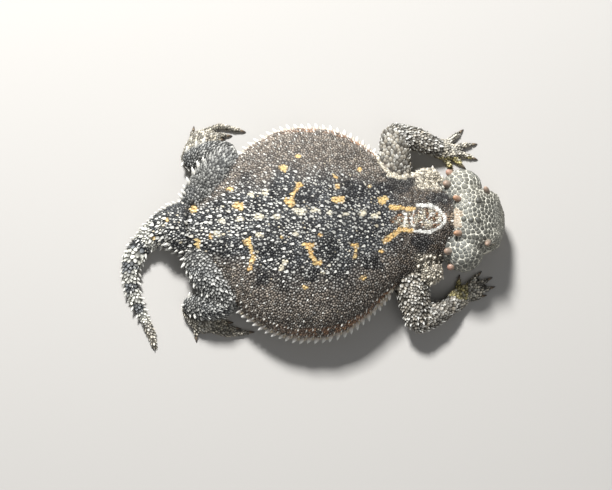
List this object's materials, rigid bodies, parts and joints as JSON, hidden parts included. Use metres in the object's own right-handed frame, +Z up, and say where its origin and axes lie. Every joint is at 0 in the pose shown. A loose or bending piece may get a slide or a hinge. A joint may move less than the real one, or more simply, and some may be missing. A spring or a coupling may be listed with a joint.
{
  "type": "horned lizard",
  "caption": "A still, life-size horned lizard lying flat: wide fringed body, short blunt horns, bent legs with clawed toes and a short curved tail",
  "frame": {"origin": "on the flat of the belly, on the floor, under the widest part of the trunk", "axes": "+X towards the snout, +Y towards the animal's left side, +Z up"},
  "size_m": [0.0984, 0.0597, 0.018],
  "materials": {
    "skin": "dry, finely scaled grey-black hide with white and yellow marks",
    "head_skin": "dry grey-green head plates with a pale net between them",
    "horn": "smooth, low-sheen reddish-brown horn",
    "claw": "dark, slightly glossy claw",
    "eye": "wet, glossy dark eye"
  },
  "bodies": {
    "root": {"brow_horn_left": "horn", "brow_horn_right": "horn", "claw_foot_left_1": "claw", "claw_foot_left_2": "claw", "claw_foot_left_3": "claw", "claw_foot_left_4": "claw", "claw_foot_left_5": "claw", "claw_foot_right_1": "claw", "claw_foot_right_2": "claw", "claw_foot_right_3": "claw", "claw_foot_right_4": "claw", "claw_foot_right_5": "claw", "claw_hand_left_1": "claw", "claw_hand_left_2": "claw", "claw_hand_left_3": "claw", "claw_hand_left_4": "claw", "claw_hand_left_5": "claw", "claw_hand_right_1": "claw", "claw_hand_right_2": "claw", "claw_hand_right_3": "claw", "claw_hand_right_4": "claw", "claw_hand_right_5": "claw", "eye_left": "eye", "eye_right": "eye", "foot_left": "skin", "foot_right": "skin", "forearm_left": "skin", "forearm_right": "skin", "hand_left": "skin", "hand_right": "skin", "head": "head_skin", "inner_temporal_horn_left": "horn", "inner_temporal_horn_right": "horn", "lower_jaw": "head_skin", "neck": "skin", "occipital_horn_left": "horn", "occipital_horn_right": "horn", "outer_temporal_horn_left": "horn", "outer_temporal_horn_right": "horn", "shank_left": "skin", "shank_right": "skin", "tail_base": "skin", "tail_mid": "skin", "tail_tip": "skin", "thigh_left": "skin", "thigh_right": "skin", "trunk": "skin", "upper_arm_left": "skin", "upper_arm_right": "skin"}
  },
  "joints": []
}
